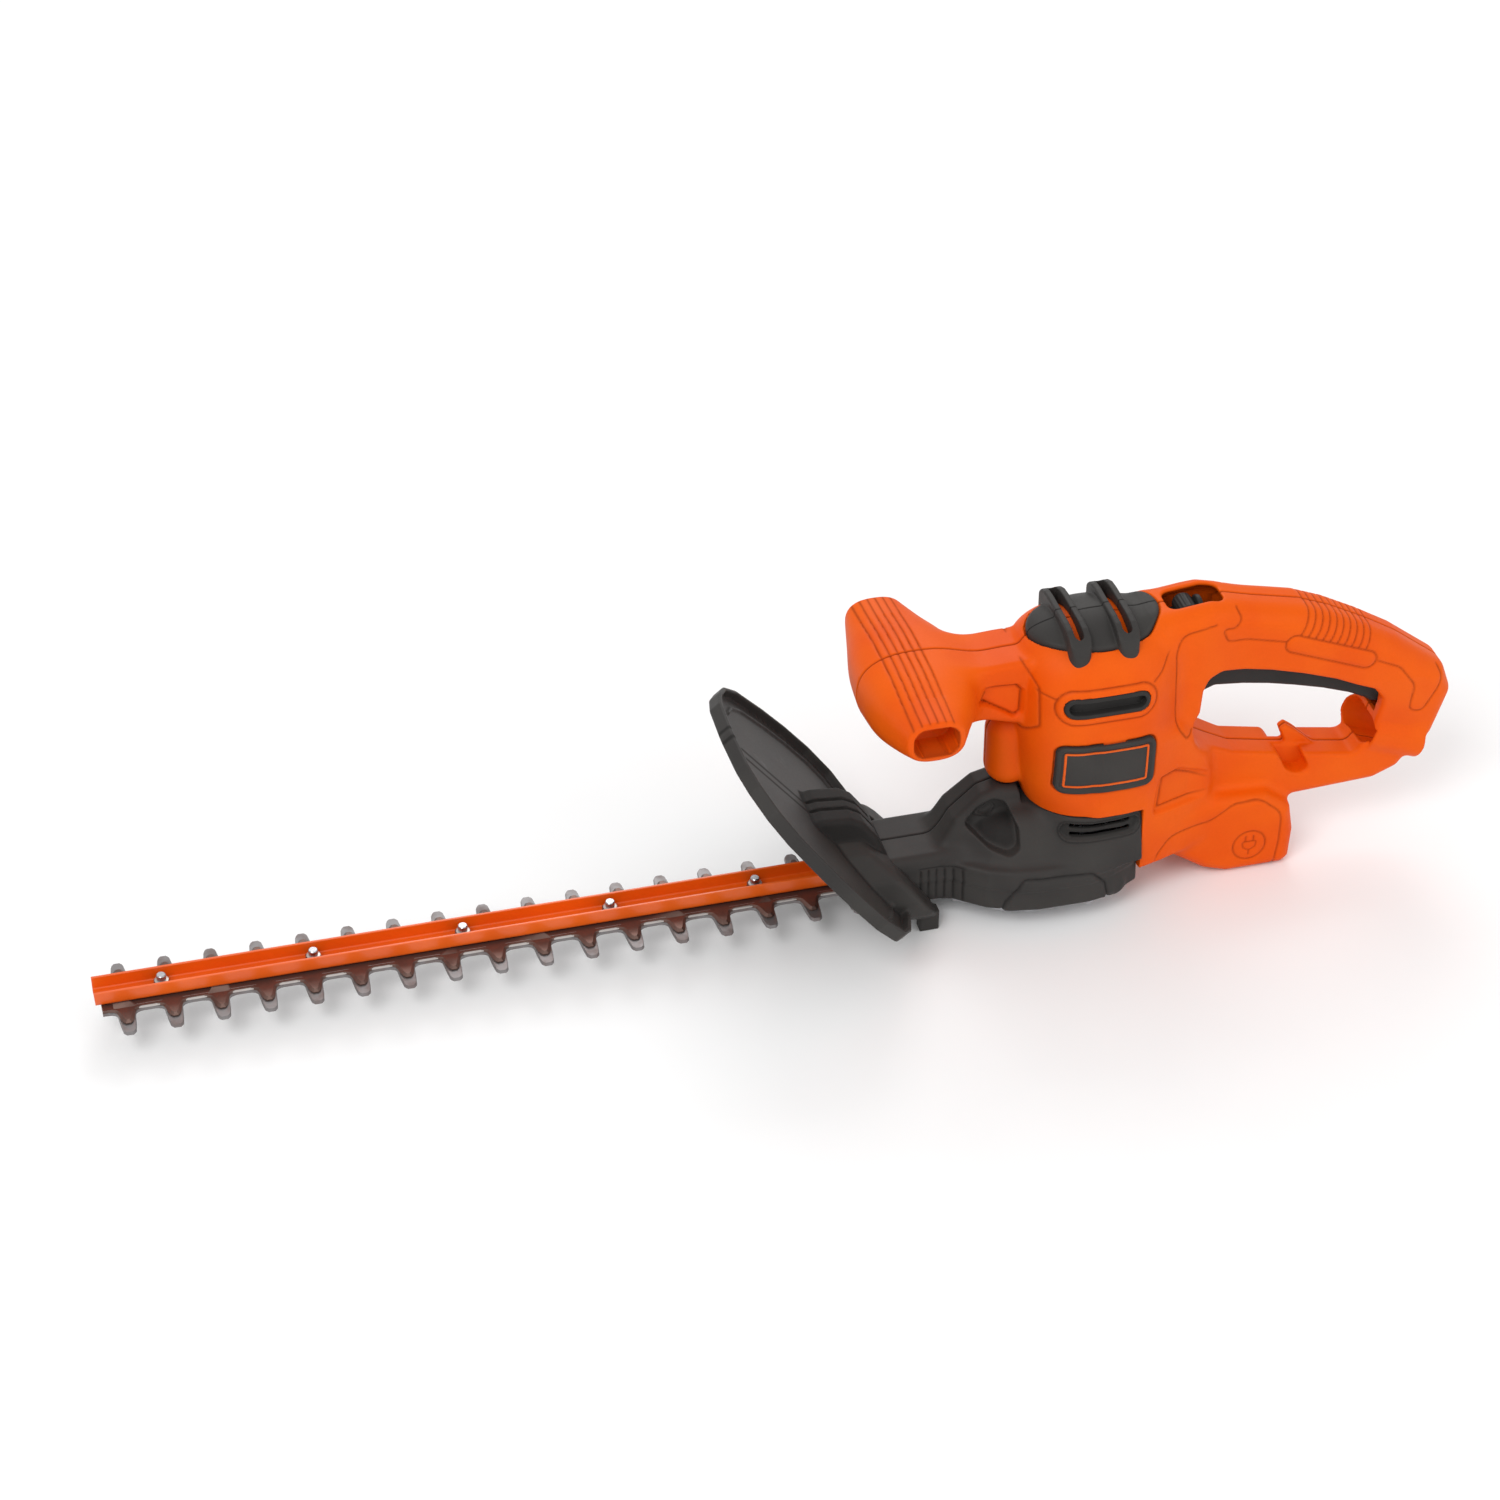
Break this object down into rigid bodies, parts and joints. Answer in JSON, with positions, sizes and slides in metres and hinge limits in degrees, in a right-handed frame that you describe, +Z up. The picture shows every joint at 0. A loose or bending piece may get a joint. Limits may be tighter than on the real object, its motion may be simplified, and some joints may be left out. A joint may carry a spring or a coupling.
{
  "type": "hedge trimmer",
  "caption": "Corded hedge trimmer: toothed double blade under a channel bar, leaning hand guard, gear case, upright motor barrel, front T-grip and rear loop handle.",
  "frame": {"origin": "on the plane the tool rests on, directly under the vertical motor axis, on the parting plane", "axes": "+X towards the rear handle, along the blades; +Z up along the motor axis; +Y to the operator's right"},
  "size_m": [0.7459, 0.159, 0.1785],
  "materials": {
    "housing_shell": "moulded satin orange plastic",
    "case_shell": "moulded charcoal glass-filled nylon, satin",
    "control_plastic": "moulded black nylon",
    "blade_steel": "ground and hardened blade steel",
    "bar_paint": "semi-gloss orange enamel",
    "fastener_steel": "phosphated steel",
    "machined_steel": "turned steel",
    "bronze": "bronze and brass",
    "cast_aluminium": "die-cast",
    "lamination_iron": "stacked laminations",
    "enamelled_copper": "varnished copper",
    "carbon": "pressed carbon"
  },
  "bodies": {
    "root": {"badge_plate_left": "case_shell", "badge_plate_right": "case_shell", "bar_screws": "fastener_steel", "blade_bar": "bar_paint", "blade_bolts": "fastener_steel", "blade_nuts": "fastener_steel", "blade_spacers": "fastener_steel", "blade_washers": "fastener_steel", "brush_holders": "control_plastic", "brush_springs": "machined_steel", "carbon_brushes": "carbon", "cover_screws": "fastener_steel", "field_coils": "enamelled_copper", "gear_case_cover": "case_shell", "gear_case_left": "case_shell", "gear_case_right": "case_shell", "gear_pin": "machined_steel", "gear_plate": "cast_aluminium", "guard_screws": "fastener_steel", "hand_guard": "case_shell", "housing_left": "housing_shell", "housing_right": "housing_shell", "housing_screws": "fastener_steel", "inlet_body": "control_plastic", "inlet_prongs": "bronze", "lower_bearing": "machined_steel", "power_switch": "control_plastic", "side_vent_left": "case_shell", "side_vent_right": "case_shell", "stator_core": "lamination_iron", "thrust_washers": "machined_steel", "trigger_pin": "machined_steel", "upper_bearing": "machined_steel", "vent_cap_left": "case_shell", "vent_cap_right": "case_shell"},
    "rotor": {"motor_shaft": "machined_steel", "motor_pinion": "machined_steel", "armature_core": "lamination_iron", "armature_windings": "enamelled_copper", "commutator": "enamelled_copper", "cooling_fan": "control_plastic"},
    "gear": {"drive_gear": "machined_steel", "eccentric_cams": "machined_steel", "gear_bush": "bronze"},
    "upper_blade": {"upper_blade": "blade_steel", "upper_yoke": "blade_steel"},
    "lower_blade": {"lower_blade": "blade_steel", "lower_yoke": "blade_steel"},
    "trigger": {"trigger": "control_plastic"},
    "lock_off": {"lock_off_slider": "control_plastic"},
    "plunger": {"switch_plunger": "control_plastic"}
  },
  "joints": [
    {"name": "motor_spin", "type": "hinge", "parent": "root", "child": "rotor", "pos_m": [0, 0, 0.09], "axis": [0, 0, 1], "continuous": true},
    {"name": "gear_spin", "type": "hinge", "parent": "root", "child": "gear", "pos_m": [-0.035, 0, 0.029], "axis": [0, 0, 1], "continuous": true},
    {"name": "upper_blade_stroke", "type": "slide", "parent": "root", "child": "upper_blade", "axis": [1, 0, 0], "range_m": [-0.004, 0.004]},
    {"name": "lower_blade_stroke", "type": "slide", "parent": "root", "child": "lower_blade", "axis": [1, 0, 0], "range_m": [-0.004, 0.004]},
    {"name": "trigger_pull", "type": "hinge", "parent": "root", "child": "trigger", "pos_m": [0.1665, 0, 0.099], "axis": [0, 1, 0], "range_deg": [0, 4.5], "stiffness_Nm_per_rad": 1.2, "springref_deg": -5.73},
    {"name": "plunger_press", "type": "slide", "parent": "root", "child": "plunger", "axis": [0, 0, 1], "range_m": [0, 0.0055]},
    {"name": "lock_off_slide", "type": "slide", "parent": "root", "child": "lock_off", "axis": [1, 0, 0], "range_m": [0, 0.006], "stiffness_N_per_m": 150, "springref_m": -0.004}
  ],
  "couplings": [
    {"joint": "motor_spin", "follows": "gear_spin", "ratio": -6},
    {"joint": "lower_blade_stroke", "follows": "upper_blade_stroke", "ratio": -1},
    {"joint": "plunger_press", "follows": "trigger_pull", "m_per_rad": 0.0685}
  ]
}
